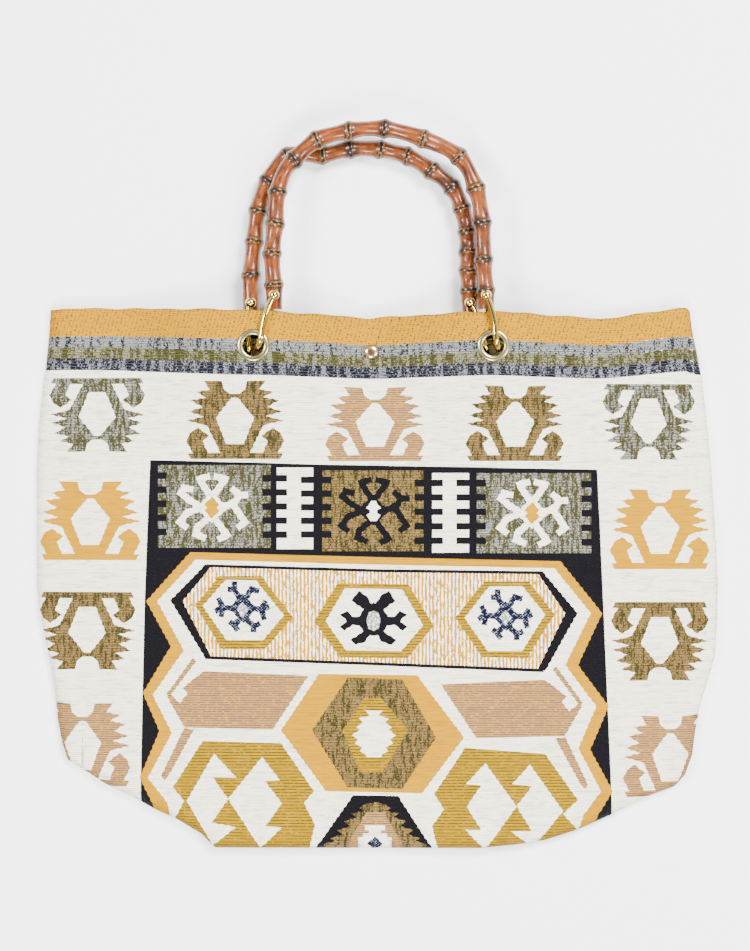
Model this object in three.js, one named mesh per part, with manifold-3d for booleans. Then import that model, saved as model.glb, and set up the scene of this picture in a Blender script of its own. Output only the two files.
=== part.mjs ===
// Woven tote bag with two bamboo root handles, lying flat on its back.
// Millimetres, +Z up. The floor is z = 0, the mouth points along +Y, the front faces up.
// The origin is on the floor under the middle of the whole bag.
import * as THREE from "three";
import Module from "manifold-3d";
import { mergeVertices } from "three/addons/utils/BufferGeometryUtils.js";

const wasm = await Module();
wasm.setup();

// Cloth
const bagWidth = 466;        // side seam to side seam, at the widest
const bagHeight = 366;       // mouth edge to bottom fold
const clothWall = 1.6;       // woven panel
const hemWall = 2.2;         // panel and turned-in hem together
const hemDepth = 42;         // how far the hem is turned in
const crownHeight = 16;      // top of the front panel in the middle of the bag
const edgeRadius = 13;       // how softly the front rolls over at seams and bottom fold
const mouthSway = 4.8;       // how far the front's mouth edge dips at its lowest
const backSink = 6.5;        // how much lower the back's mouth edge lies at its eyelets
const backSinkSpread = 80;   // how far from an eyelet that reaches
const hemFade = 8;           // over which the hem's double cloth ends
const sideFall = 0.45;       // how much lower the front is at its sides than in the middle

// Eyelets
const eyeletSpread = 162;    // between the two eyelets of a panel
const eyeletShift = -2.6;    // middle of the pair from the bag's middle
const eyeletDrop = 24.5;     // mouth edge to eyelet centre
const eyeletHole = 7;        // radius of the hole
const barrelWall = 1;        // eyelet tube
const flangeRadius = 11;     // outer radius of the visible ring
const flangeThick = 0.9;     // each flange
const flangeRoll = 0.4;      // height of the ring's inner lip, as a share of flangeThick
const flatMargin = 1.6;      // flat cloth past the flange
const patchMargin = 1.2;     // and past that, up to the next place in the cloth's mesh

// Shackles
const wireRadius = 2;
const ballRadius = 3.75;
const ballOffset = 8.2;      // ball centre from the bamboo's centre, also the radius of the bend
const legLength = 29;        // pin to the centre of the bend
const pinRadius = 1.6;
const frontAim = 3.7;        // where the front shackles sit in their eyelets, to the right
const rearAim = -3.7;        // where the rear shackles sit in theirs
const frontSeat = 4.59;      // front eyelets' centre past the start of the shackle's bend
const rearSeat = 5.56;       // the same at the rear eyelets

// Bamboo
const waistRadius = 5.25;    // between two knots
const shoulderRadius = 5.7;  // beside a knot
const knotRadius = 7;
const knotHalf = 2.9;        // half the length of a knot's swelling
const frontLegSpread = 143;  // between the legs' centre lines
const frontRise = 113.4;     // pins to the middle of the arch
const frontShift = 1.9;      // middle of the handle from the bag's middle
const rearLegSpread = 148.6;
const rearRise = 107;
const rearShift = -11.4;
const bambooOverhang = 7.8;  // bamboo past the pin

// Snap
const snapShift = -4;        // from the bag's middle
const snapRadius = 4.85;
const snapDome = 2.1;        // height of the cap
const capRim = 0.5;          // the cap's upright edge
const studRadius = 1.9;
const studHeight = 1.9;
const socketTop = 0.9;       // socket above the stud
const socketWall = 1.1;
const snapPlate = 1;         // foot of the stud and of the back plate
const innerSnap = 0.9;       // radius of the hidden parts, as a share of snapRadius
const snapMargin = 2;        // flat cloth past the snap

// Clearances
const gap = 0.3;             // between touching pieces
const legGap = 0.4;          // between a shackle's leg and a flange
const floorGap = 0.05;       // between hard pieces and the floor

// How finely round pieces are cut
const holeSides = 16;
const bambooSides = 8;
const wireSteps = 16;        // stations along a shackle's wire
const curveSamples = 400;    // places at which a handle's length is measured

// Outline of the bag from mouth to bottom fold. down is a share of the bag's height, left and
// right are shares of half its width, peek is what the back shows past the front on the right.
const outline = [
  { down: 0.000, left: 0.958, right: 0.918, peek: 0.008 },
  { down: 0.063, left: 0.966, right: 0.930, peek: 0.008 },
  { down: 0.128, left: 0.978, right: 0.956, peek: 0.003 },
  { down: 0.213, left: 0.993, right: 0.970, peek: 0 },
  { down: 0.299, left: 0.998, right: 0.981, peek: 0 },
  { down: 0.406, left: 1.000, right: 0.991, peek: 0 },
  { down: 0.506, left: 0.998, right: 1.000, peek: 0 },
  { down: 0.573, left: 0.987, right: 0.997, peek: 0 },
  { down: 0.642, left: 0.963, right: 0.991, peek: 0 },
  { down: 0.703, left: 0.946, right: 0.962, peek: 0 },
  { down: 0.759, left: 0.937, right: 0.940, peek: 0 },
  { down: 0.807, left: 0.922, right: 0.929, peek: 0 },
  { down: 0.835, left: 0.908, right: 0.920, peek: 0 },
  { down: 0.863, left: 0.841, right: 0.904, peek: 0 },
  { down: 0.885, left: 0.785, right: 0.872, peek: 0 },
  { down: 0.907, left: 0.710, right: 0.777, peek: 0 },
  { down: 0.930, left: 0.645, right: 0.711, peek: 0 },
  { down: 0.952, left: 0.572, right: 0.638, peek: 0 },
  { down: 0.974, left: 0.514, right: 0.545, peek: 0 },
  { down: 0.990, left: 0.488, right: 0.443, peek: 0 },
  { down: 0.996, left: 0.480, right: 0.372, peek: 0 },
  { down: 1.000, left: 0.476, right: 0.300, peek: 0 },
];

// Wave of the mouth edge. across is a share of half the width, sink a share of mouthSway.
const mouthWave = [
  { across: -1.00, sink: -0.15 },
  { across: -0.80, sink: -0.28 },
  { across: -0.36, sink: 0.05 },
  { across: -0.02, sink: 1.00 },
  { across: 0.34, sink: 0.14 },
  { across: 0.65, sink: 1.10 },
  { across: 0.88, sink: -0.28 },
  { across: 1.00, sink: 0.50 },
];

// Height of the front panel down the middle, as a share of crownHeight.
const crown = [
  { down: 0.00, rise: 0.80 },
  { down: 0.15, rise: 0.92 },
  { down: 0.35, rise: 1.00 },
  { down: 0.65, rise: 0.98 },
  { down: 0.88, rise: 0.90 },
  { down: 1.00, rise: 0.86 },
];

// How far to each side a value of mouthWave or crown is eased, in their own shares.
const easeReach = 0.035;

// How far down the bag the wave of its mouth has died away, as a share of its height.
const waveFade = 0.3;

// Where the cloth rides over hardware or is drawn down by it: half widths of the swelling across
// and along the bag, the place of its middle beside the hardware's, and how full it is.
const swellings = {
  frontRing: { across: 88, along: 118, shift: 17, full: 1.25 },
  frontSnap: { across: 58, along: 62, shift: 9, full: 1.15 },
  backRing: { across: 62, along: 66, shift: 10, full: 1.35 },
  backSink: { across: backSinkSpread, along: 1, shift: 0, full: 1.3 },
};

// Soft dents and swells of the front. across and wide are shares of half the width, down and
// tall shares of the height, deep a share of crownHeight.
const dents = [
  { across: -0.62, down: 0.30, wide: 0.34, tall: 0.10, deep: -0.13 },
  { across: 0.55, down: 0.24, wide: 0.30, tall: 0.09, deep: -0.12 },
  { across: -0.20, down: 0.45, wide: 0.45, tall: 0.12, deep: 0.07 },
  { across: 0.30, down: 0.62, wide: 0.40, tall: 0.10, deep: -0.10 },
  { across: -0.50, down: 0.72, wide: 0.32, tall: 0.13, deep: -0.12 },
  { across: 0.72, down: 0.78, wide: 0.22, tall: 0.14, deep: 0.09 },
  { across: -0.05, down: 0.87, wide: 0.50, tall: 0.08, deep: -0.08 },
];

// Centre line of a handle, a row for each knot or bend. across is a share of half the leg
// spread, rise a share of the handle's rise, knot a share of knotRadius, 0 for a plain stretch.
const frontBamboo = [
  { across: -1.005, rise: 0.074, knot: 1.00 },
  { across: -1.023, rise: 0.257, knot: 1.00 },
  { across: -0.991, rise: 0.430, knot: 0.98 },
  { across: -0.971, rise: 0.621, knot: 0.96 },
  { across: -0.905, rise: 0.747, knot: 0 },
  { across: -0.813, rise: 0.815, knot: 1.05 },
  { across: -0.600, rise: 0.935, knot: 0.97 },
  { across: -0.295, rise: 0.987, knot: 0.96 },
  { across: 0.043, rise: 1.000, knot: 1.02 },
  { across: 0.408, rise: 0.941, knot: 1.02 },
  { across: 0.743, rise: 0.835, knot: 1.02 },
  { across: 0.909, rise: 0.645, knot: 1.00 },
  { across: 0.965, rise: 0.442, knot: 1.00 },
  { across: 0.981, rise: 0.221, knot: 0.98 },
  { across: 1.000, rise: 0.070, knot: 0.90 },
];
const rearBamboo = [
  { across: -1.004, rise: 0.193, knot: 0.98 },
  { across: -0.973, rise: 0.405, knot: 0.97 },
  { across: -0.937, rise: 0.606, knot: 0.98 },
  { across: -0.845, rise: 0.790, knot: 1.00 },
  { across: -0.672, rise: 0.940, knot: 0.95 },
  { across: -0.351, rise: 0.975, knot: 1.00 },
  { across: -0.095, rise: 1.000, knot: 0.97 },
  { across: 0.179, rise: 0.998, knot: 0.96 },
  { across: 0.431, rise: 0.952, knot: 0.98 },
  { across: 0.655, rise: 0.860, knot: 1.00 },
  { across: 0.838, rise: 0.752, knot: 1.00 },
  { across: 0.930, rise: 0.619, knot: 0.98 },
  { across: 0.975, rise: 0.472, knot: 0.97 },
  { across: 0.984, rise: 0.342, knot: 0.96 },
  { across: 0.984, rise: 0.218, knot: 0.96 },
  { across: 0.994, rise: 0.110, knot: 0.90 },
];

// Sizes that follow from the ones above
const halfWidth = bagWidth / 2;
const barrelRadius = eyeletHole + barrelWall;
const flatHalf = flangeRadius + flatMargin;
const ringReach = ballOffset + ballRadius;
const snapFlat = snapRadius + snapMargin;

// Places along Y before the whole is centred: the front's mouth edge at its side seams is y = 0.
const eyeletXs = [-1, 1].map((side) => eyeletShift + (side * eyeletSpread) / 2);
const frontEyeletY = clothY(eyeletXs[0], eyeletDrop, false);
const rearEyeletY = clothY(eyeletXs[0], eyeletDrop, true);
const snapY = clothY(snapShift, eyeletDrop, false);
const frontPinY = frontEyeletY + legLength + frontSeat;
const rearPinY = rearEyeletY + legLength + rearSeat;

// Heights, worked out from the floor upwards: the rear handle lies on its shackles' balls and
// on the knots of its arch, the back panel rides over the rear shackles, and so on.
const rearPinZ = ringReach + floorGap;
const rearArchZ = knotRadius + floorGap;
const rearSlope = (rearArchZ - rearPinZ) / rearRise;
const rearRingZ = rearPinZ + rearSlope * (rearEyeletY - rearPinY);
const flangeStack = flangeThick + gap;
const backEyeletZ = rearRingZ - ballOffset + wireRadius + legGap + flangeStack;
const frontRingZ = backEyeletZ + hemWall + flangeStack + legGap + wireRadius + ballOffset;
const frontEyeletZ = frontRingZ + ballOffset - wireRadius - legGap - flangeStack;
const frontArchZ = rearArchZ + 2 * knotRadius + 2 * gap;
const frontSlope = (frontArchZ - frontRingZ) / (frontPinY + frontRise - frontEyeletY);
const backSnapZ = floorGap + snapPlate + gap;
const studPlateZ = backSnapZ + hemWall + gap;
const socketZ = studPlateZ + snapPlate + gap;
const socketHeight = studHeight + socketTop;
const frontSnapZ = socketZ + socketHeight + gap + hemWall;
const rimZ = clothWall + gap;

// Value of a table's column at a place, on straight lines between its rows.
function lookUp(table, key, column, at) {
  const last = table.length - 1;
  if (at <= table[0][key]) {
    return table[0][column];
  }
  for (let i = 0; i < last; i += 1) {
    const a = table[i];
    const b = table[i + 1];
    if (at <= b[key]) {
      return a[column] + ((b[column] - a[column]) * (at - a[key])) / (b[key] - a[key]);
    }
  }
  return table[last][column];
}

// The same, eased so that the curve has no corners.
function easedLookUp(table, key, column, at) {
  const reach = easeReach;
  const before = lookUp(table, key, column, at - reach);
  const after = lookUp(table, key, column, at + reach);
  return (before + 2 * lookUp(table, key, column, at) + after) / 4;
}

function sinkAt(x) {
  return mouthSway * easedLookUp(mouthWave, "across", "sink", (2 * x) / bagWidth);
}

// A round swelling: 1 in the middle, 0 from its rim outwards.
function swell(dx, dy) {
  const r2 = dx * dx + dy * dy;
  return r2 >= 1 ? 0 : (1 - r2) ** 2;
}

function smooth(t) {
  const c = Math.min(1, Math.max(0, t));
  return c * c * (3 - 2 * c);
}

// How much of a swelling is felt at a distance from its hardware.
function swelling(kind, dx, dy) {
  return smooth(kind.full * swell(dx / kind.across, (dy - kind.shift) / kind.along));
}

// How far down the bag a place of the cloth lies when its mouth edge has its wave. The back's
// edge also sinks at its eyelets, where the rear shackles draw it down.
function clothY(x, drop, isBack) {
  let sink = sinkAt(x);
  if (isBack) {
    for (const eyeletX of eyeletXs) {
      sink += backSink * swelling(swellings.backSink, x - eyeletX, 0);
    }
  }
  return -drop - sink * (1 - smooth(drop / bagHeight / waveFade));
}

// Rows of the cloth's mesh, as shares down: the outline's own, and those of the eyelets.
const eyeletRows = [0, eyeletDrop - flatHalf, eyeletDrop, eyeletDrop + flatHalf];
const eyeletDown = eyeletDrop / bagHeight;
const patchEnd = eyeletDrop + flatHalf + 2 * patchMargin;
const rowShares = [
  ...eyeletRows.map((y) => y / bagHeight),
  ...outline.map((row) => row.down).filter((down) => down * bagHeight > patchEnd),
];

// Columns of the cloth's mesh, as shares of the row's half width.
function columnAt(x) {
  const side = x < 0 ? "left" : "right";
  return x / (halfWidth * lookUp(outline, "down", side, eyeletDown));
}
const edgeColumns = [1, 0.992, 0.97, 0.93, 0.86, 0.74, 0.58];
const columnShares = [
  ...edgeColumns.map((share) => -share),
  ...[-flatHalf, 0, flatHalf].map((dx) => columnAt(eyeletXs[0] + dx)),
  columnAt((eyeletXs[0] + snapShift) / 2),
  ...[-snapFlat, 0, snapFlat].map((dx) => columnAt(snapShift + dx)),
  columnAt((eyeletXs[1] + snapShift) / 2),
  ...[-flatHalf, 0, flatHalf].map((dx) => columnAt(eyeletXs[1] + dx)),
  ...edgeColumns.slice().reverse(),
];

// Plan of the cloth: where a row and column of the mesh lie on the floor.
function planPoint(down, share, isBack) {
  const side = share < 0 ? "left" : "right";
  const peek = isBack && share > 0 ? lookUp(outline, "down", "peek", down) : 0;
  const x = share * halfWidth * (lookUp(outline, "down", side, down) + peek);
  return new THREE.Vector2(x, clothY(x, down * bagHeight, isBack));
}

// Distance from the outline's sides and bottom, which the front rolls over.
const rimPoints = [
  ...outline.map((row) => new THREE.Vector2(-row.left * halfWidth, -row.down * bagHeight)),
  ...outline.slice().reverse().map((row) => (
    new THREE.Vector2(row.right * halfWidth, -row.down * bagHeight))),
];
rimPoints[0].y += mouthSway * 2;
rimPoints[rimPoints.length - 1].y += mouthSway * 2;
function rimDistance(point) {
  let nearest = Infinity;
  const closest = new THREE.Vector2();
  for (let i = 0; i + 1 < rimPoints.length; i += 1) {
    const a = rimPoints[i];
    const along = rimPoints[i + 1].clone().sub(a);
    const t = point.clone().sub(a).dot(along) / along.lengthSq();
    closest.copy(a).addScaledVector(along, Math.min(1, Math.max(0, t)));
    nearest = Math.min(nearest, closest.distanceTo(point));
  }
  return nearest;
}

// A flat patch for an eyelet or the snap, the same height all over.
function patchHeight(point, patches, height) {
  for (const patch of patches) {
    const dx = Math.abs(point.x - patch.x);
    const dy = Math.abs(point.y - patch.y);
    if (dx < patch.half + patchMargin && dy < flatHalf + patchMargin) {
      return patch.z;
    }
  }
  return height;
}

const frontPatches = [
  ...eyeletXs.map((x) => ({ x, y: frontEyeletY, half: flatHalf, z: frontEyeletZ })),
  { x: snapShift, y: snapY, half: snapFlat, z: frontSnapZ },
];
const backPatches = [
  ...eyeletXs.map((x) => ({ x, y: rearEyeletY, half: flatHalf, z: backEyeletZ })),
  { x: snapShift, y: snapY, half: snapFlat, z: backSnapZ },
];

// Height of the front panel's upper face.
function frontHeight(point, down, share) {
  let height = crownHeight * easedLookUp(crown, "down", "rise", down);
  height *= 1 - sideFall * Math.abs(share) ** 3;
  for (const dent of dents) {
    const dx = (share - dent.across) / dent.wide;
    const dy = (down - dent.down) / dent.tall;
    height += dent.deep * crownHeight * Math.exp(-dx * dx - dy * dy);
  }
  for (const x of eyeletXs) {
    const lift = Math.max(0, frontEyeletZ - height);
    height += lift * swelling(swellings.frontRing, point.x - x, point.y - frontEyeletY);
  }
  const dip = height - frontSnapZ;
  height -= dip * swelling(swellings.frontSnap, point.x - snapShift, point.y - snapY);
  height = patchHeight(point, frontPatches, height);
  const inward = Math.min(1, rimDistance(point) / edgeRadius);
  const roll = Math.sqrt(1 - (1 - inward) ** 2);
  return rimZ + (height - rimZ) * roll;
}

// Height of the back panel's lower face, which lies on the floor away from the hardware.
function backHeight(point) {
  let height = 0;
  for (const x of eyeletXs) {
    const share = swelling(swellings.backRing, point.x - x, point.y - rearEyeletY);
    height = Math.max(height, backEyeletZ * share);
  }
  return patchHeight(point, backPatches, height);
}

// A closed body from two matching grids of points, outer above and inner below.
function shellGeometry(upper, lower) {
  const rows = upper.length;
  const columns = upper[0].length;
  const positions = [];
  const index = [];
  for (const grid of [upper, lower]) {
    for (const row of grid) {
      for (const p of row) {
        positions.push(p.x, p.y, p.z);
      }
    }
  }
  const at = (layer, r, c) => layer * rows * columns + r * columns + c;
  const quad = (a, b, c, d) => index.push(a, b, c, a, c, d);
  for (let r = 0; r + 1 < rows; r += 1) {
    for (let c = 0; c + 1 < columns; c += 1) {
      quad(at(0, r, c), at(0, r + 1, c), at(0, r + 1, c + 1), at(0, r, c + 1));
      quad(at(1, r, c), at(1, r, c + 1), at(1, r + 1, c + 1), at(1, r + 1, c));
    }
  }
  for (let c = 0; c + 1 < columns; c += 1) {
    quad(at(0, 0, c), at(0, 0, c + 1), at(1, 0, c + 1), at(1, 0, c));
    quad(at(0, rows - 1, c + 1), at(0, rows - 1, c), at(1, rows - 1, c), at(1, rows - 1, c + 1));
  }
  for (let r = 0; r + 1 < rows; r += 1) {
    quad(at(0, r + 1, 0), at(0, r, 0), at(1, r, 0), at(1, r + 1, 0));
    quad(at(0, r, columns - 1), at(0, r + 1, columns - 1),
      at(1, r + 1, columns - 1), at(1, r, columns - 1));
  }
  const geometry = new THREE.BufferGeometry();
  geometry.setAttribute("position", new THREE.Float32BufferAttribute(positions, 3));
  geometry.setIndex(index);
  return geometry;
}

// The second face of a cloth, one wall away from the first along its normals. side is -1 for a
// wall below the given face and 1 for one above it. At the rim the wall stays level.
function offsetGrid(grid, side, hasRim) {
  const last = grid.length - 1;
  const lastColumn = grid[0].length - 1;
  return grid.map((row, r) => row.map((p, c) => {
    const across = grid[r][Math.min(lastColumn, c + 1)].clone().sub(grid[r][Math.max(0, c - 1)]);
    const along = grid[Math.max(0, r - 1)][c].clone().sub(grid[Math.min(last, r + 1)][c]);
    const normal = across.cross(along).normalize();
    if (hasRim && (c === 0 || c === lastColumn || r === last)) {
      normal.setZ(0).normalize();
    }
    const depth = -p.y - sinkAt(p.x);
    const wall = hemWall + (clothWall - hemWall) * smooth((depth - hemDepth) / hemFade);
    return p.clone().addScaledVector(normal, side * wall);
  }));
}

// A solid for cutting and joining, from a closed mesh, and back again.
function toSolid(geometry) {
  const plain = geometry.clone();
  plain.deleteAttribute("normal");
  plain.deleteAttribute("uv");
  const merged = mergeVertices(plain, 1e-4);
  const corners = merged.index.array;
  const triangles = [];
  for (let i = 0; i < corners.length; i += 3) {
    const [a, b, c] = corners.slice(i, i + 3);
    if (a !== b && b !== c && c !== a) {
      triangles.push(a, b, c);
    }
  }
  return new wasm.Manifold(new wasm.Mesh({
    numProp: 3,
    vertProperties: new Float32Array(merged.attributes.position.array),
    triVerts: new Uint32Array(triangles),
  }));
}
function toGeometry(solid) {
  const mesh = solid.getMesh();
  const geometry = new THREE.BufferGeometry();
  geometry.setAttribute("position", new THREE.BufferAttribute(mesh.vertProperties, 3));
  geometry.setIndex(new THREE.BufferAttribute(mesh.triVerts, 1));
  return geometry;
}

// An upright cylinder for drilling, centred on a point.
function drill(x, y, z, radius, length, sides = holeSides) {
  const cylinder = new THREE.CylinderGeometry(radius, radius, length, sides);
  cylinder.rotateX(Math.PI / 2);
  cylinder.translate(x, y, z);
  return toSolid(cylinder);
}

function frontPanel() {
  const upper = rowShares.map((down) => columnShares.map((share) => {
    const plan = planPoint(down, share, false);
    return new THREE.Vector3(plan.x, plan.y, frontHeight(plan, down, share));
  }));
  let solid = toSolid(shellGeometry(upper, offsetGrid(upper, -1, true)));
  for (const patch of frontPatches) {
    const radius = patch.half === flatHalf ? barrelRadius + gap : studRadius + gap;
    solid = solid.subtract(drill(patch.x, patch.y, patch.z, radius, 3 * hemWall));
  }
  return toGeometry(solid);
}

function backPanel() {
  const lower = rowShares.map((down) => columnShares.map((share) => {
    const plan = planPoint(down, share, true);
    return new THREE.Vector3(plan.x, plan.y, backHeight(plan));
  }));
  let solid = toSolid(shellGeometry(offsetGrid(lower, 1, false), lower));
  for (const patch of backPatches) {
    const radius = patch.half === flatHalf ? barrelRadius + gap : studRadius + gap;
    solid = solid.subtract(drill(patch.x, patch.y, patch.z + hemWall, radius, 3 * hemWall));
  }
  return toGeometry(solid);
}

// A turned piece about an upright axis, from a profile of [radius, height] pairs.
function turned(profile) {
  const points = profile.map(([r, z]) => new THREE.Vector2(r, z));
  const geometry = new THREE.LatheGeometry(points, holeSides);
  geometry.rotateX(Math.PI / 2);
  return toGeometry(toSolid(geometry));
}

// Eyelet with a rolled flange on each side of the hem, its cloth from z = 0 to hemWall.
function eyelet() {
  const low = -gap;
  const high = hemWall + gap;
  const roll = flangeThick * flangeRoll;
  const crest = (eyeletHole + flangeRadius) / 2;
  return turned([
    [eyeletHole, low - roll],
    [crest, low - flangeThick],
    [flangeRadius, low],
    [barrelRadius, low],
    [barrelRadius, high],
    [flangeRadius, high],
    [crest, high + flangeThick],
    [eyeletHole, high + roll],
    [eyeletHole, low - roll],
  ]);
}

// Handle's centre line: down one leg, round the arch and down the other.
function bambooCurve(rows, spread, rise, shift, pinY, heightAt) {
  const half = spread / 2;
  const ends = [-1, 1].map((side) => ({ across: side, y: pinY - bambooOverhang, knot: 0 }));
  const marks = [
    ends[0],
    ...rows.map((row) => ({ ...row, y: pinY + row.rise * rise })),
    ends[1],
  ];
  const points = marks.map((mark) => (
    new THREE.Vector3(shift + mark.across * half, mark.y, heightAt(mark.y))));
  return { marks, curve: new THREE.CatmullRomCurve3(points, false, "centripetal") };
}

// A round body of changing radius along a curve.
function sweep(curve, stations, sides) {
  const up = new THREE.Vector3(0, 0, 1);
  const positions = [];
  const index = [];
  for (const station of stations) {
    const centre = curve.getPointAt(station.at);
    const tangent = curve.getTangentAt(station.at);
    const side = tangent.clone().cross(up).normalize();
    const over = side.clone().cross(tangent).normalize();
    for (let k = 0; k < sides; k += 1) {
      const angle = (2 * Math.PI * k) / sides;
      const p = centre.clone()
        .addScaledVector(side, station.radius * Math.cos(angle))
        .addScaledVector(over, station.radius * Math.sin(angle));
      positions.push(p.x, p.y, p.z);
    }
  }
  const rings = stations.length;
  for (let i = 0; i + 1 < rings; i += 1) {
    for (let k = 0; k < sides; k += 1) {
      const next = (k + 1) % sides;
      const a = i * sides + k;
      const b = i * sides + next;
      index.push(a, a + sides, b + sides, a, b + sides, b);
    }
  }
  for (let k = 1; k + 1 < sides; k += 1) {
    const top = (rings - 1) * sides;
    index.push(0, k, k + 1, top, top + k + 1, top + k);
  }
  const geometry = new THREE.BufferGeometry();
  geometry.setAttribute("position", new THREE.Float32BufferAttribute(positions, 3));
  geometry.setIndex(index);
  return geometry;
}

function bamboo(path, pins) {
  const { marks, curve } = path;
  const length = curve.getLength();
  const stations = [{ at: 0, radius: waistRadius }, { at: 1, radius: shoulderRadius }];
  const lengths = curve.getLengths(curveSamples);
  marks.forEach((mark, i) => {
    const share = i / (marks.length - 1);
    const at = lengths[Math.round(share * curveSamples)] / length;
    if (mark.knot > 0) {
      const reach = knotHalf / length;
      stations.push({ at: at - reach, radius: shoulderRadius });
      stations.push({ at, radius: knotRadius * mark.knot });
      stations.push({ at: at + reach, radius: shoulderRadius });
    }
    if (i > 0) {
      const shareBefore = (i - 1) / (marks.length - 1);
      const before = lengths[Math.round(shareBefore * curveSamples)] / length;
      stations.push({ at: (at + before) / 2, radius: waistRadius });
    }
  });
  stations.sort((a, b) => a.at - b.at);
  let solid = toSolid(sweep(curve, stations, bambooSides));
  const seat = ballOffset - ballRadius - gap;
  for (const pin of pins) {
    solid = solid.subtract(drill(pin.x, pin.y, pin.z, pinRadius + gap, 8 * waistRadius));
    for (const side of [-1, 1]) {
      const z = pin.z + side * (seat + waistRadius);
      solid = solid.subtract(drill(pin.x, pin.y, z, ballRadius + gap, 2 * waistRadius));
    }
  }
  return toGeometry(solid);
}

// A shackle's centre line: up one leg, round the bend and back along the other.
class ShackleCurve extends THREE.Curve {
  getPoint(t, target = new THREE.Vector3()) {
    const arc = Math.PI * ballOffset;
    const run = t * (2 * legLength + arc);
    if (run < legLength) {
      return target.set(0, -run, ballOffset);
    }
    if (run < legLength + arc) {
      const angle = (run - legLength) / ballOffset;
      const y = -legLength - ballOffset * Math.sin(angle);
      return target.set(0, y, ballOffset * Math.cos(angle));
    }
    return target.set(0, run - 2 * legLength - arc, -ballOffset);
  }
}

// Shackle: a bent wire through the eyelet, a ball on each end and the pin between them. It is
// made with its pin at the origin and its bend towards -Y.
function shackle() {
  const section = new THREE.Shape().absarc(0, 0, wireRadius, 0, 2 * Math.PI);
  let solid = toSolid(new THREE.ExtrudeGeometry(section, {
    steps: wireSteps, curveSegments: 4, bevelEnabled: false, extrudePath: new ShackleCurve(),
  }));
  for (const side of [-1, 1]) {
    const ball = new THREE.SphereGeometry(ballRadius, 8, 6);
    ball.rotateX(Math.PI / 2);
    ball.translate(0, 0, side * ballOffset);
    solid = solid.add(toSolid(ball));
  }
  solid = solid.add(drill(0, 0, 0, pinRadius, 2 * ballOffset, 8));
  return toGeometry(solid);
}

const colours = {
  cloth: { color: 0xe6d7b4, roughness: 0.95, metalness: 0 },
  bamboo: { color: 0xa9582a, roughness: 0.35, metalness: 0 },
  brass: { color: 0xd9c373, roughness: 0.22, metalness: 1 },
  agedBrass: { color: 0xb7a877, roughness: 0.4, metalness: 1 },
};
const materials = {};
for (const [name, settings] of Object.entries(colours)) {
  materials[name] = new THREE.MeshStandardMaterial(settings);
}

const bag = new THREE.Group();
function add(name, geometry, material, parent = bag) {
  const mesh = new THREE.Mesh(geometry, materials[material]);
  mesh.name = name;
  parent.add(mesh);
  return mesh;
}

add("front_panel", frontPanel(), "cloth");
add("back_panel", backPanel(), "cloth");

for (const [i, side] of ["left", "right"].entries()) {
  const front = add(`front_eyelet_${side}`, eyelet(), "agedBrass");
  front.position.set(eyeletXs[i], frontEyeletY, frontEyeletZ - hemWall);
  const rear = add(`rear_eyelet_${side}`, eyelet(), "agedBrass");
  rear.position.set(eyeletXs[i], rearEyeletY, backEyeletZ);
}

// A handle with its two shackles, each aimed from its pin at its place in the eyelet.
function handle(name, spec) {
  const heightAt = (y) => spec.ringZ + spec.slope * (y - spec.eyeletY);
  const path = bambooCurve(spec.rows, spec.spread, spec.rise, spec.shift, spec.pinY, heightAt);
  const pins = [-1, 1].map((side) => (
    new THREE.Vector3(spec.shift + (side * spec.spread) / 2, spec.pinY, heightAt(spec.pinY))));
  add(`${name}_handle`, bamboo(path, pins), "bamboo");
  for (const [i, side] of ["left", "right"].entries()) {
    const ring = add(`${name}_shackle_${side}`, shackle(), "brass");
    const dx = eyeletXs[i] + spec.aim - pins[i].x;
    const dy = spec.eyeletY - pins[i].y;
    ring.rotation.order = "ZXY";
    ring.rotation.z = Math.atan2(dx, -dy);
    ring.rotation.x = Math.atan(spec.slope);
    ring.position.copy(pins[i]);
  }
}
handle("front", {
  rows: frontBamboo, spread: frontLegSpread, rise: frontRise, shift: frontShift,
  pinY: frontPinY, eyeletY: frontEyeletY, ringZ: frontRingZ, slope: frontSlope, aim: frontAim,
});
handle("rear", {
  rows: rearBamboo, spread: rearLegSpread, rise: rearRise, shift: rearShift,
  pinY: rearPinY, eyeletY: rearEyeletY, ringZ: rearRingZ, slope: rearSlope, aim: rearAim,
});

// Snap: a domed cap and its socket on the front, the stud and its back plate on the back.
const innerRadius = snapRadius * innerSnap;
const snapCap = add("snap_cap", turned([
  [0, -hemWall], [studRadius, -hemWall], [studRadius, gap], [snapRadius, gap],
  [snapRadius, gap + capRim], [snapRadius * 0.8, gap + capRim + snapDome * 0.45],
  [snapRadius * 0.45, gap + capRim + snapDome * 0.68], [0, gap + snapDome],
]), "brass");
snapCap.position.set(snapShift, snapY, frontSnapZ);
const snapSocket = add("snap_socket", turned([
  [0, socketHeight], [0, studHeight + gap], [studRadius + gap, studHeight + gap],
  [studRadius + gap, 0], [studRadius + gap + socketWall, 0],
  [innerRadius, socketHeight * 0.6], [innerRadius, socketHeight], [0, socketHeight],
]), "agedBrass");
snapSocket.position.set(snapShift, snapY, socketZ);
const snapStud = add("snap_stud", turned([
  [0, 0], [innerRadius, 0], [innerRadius, snapPlate], [studRadius * 0.85, snapPlate],
  [studRadius * 0.85, snapPlate + gap], [studRadius, snapPlate + studHeight * 0.6],
  [studRadius * 0.7, snapPlate + studHeight], [0, snapPlate + studHeight],
]), "agedBrass");
snapStud.position.set(snapShift, snapY, studPlateZ);
const snapBack = add("snap_back_plate", turned([
  [0, 0], [innerRadius, 0], [innerRadius, snapPlate * 0.8], [studRadius, snapPlate],
  [studRadius, snapPlate + gap + hemWall], [0, snapPlate + gap + hemWall],
]), "agedBrass");
snapBack.position.set(snapShift, snapY, floorGap);

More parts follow.
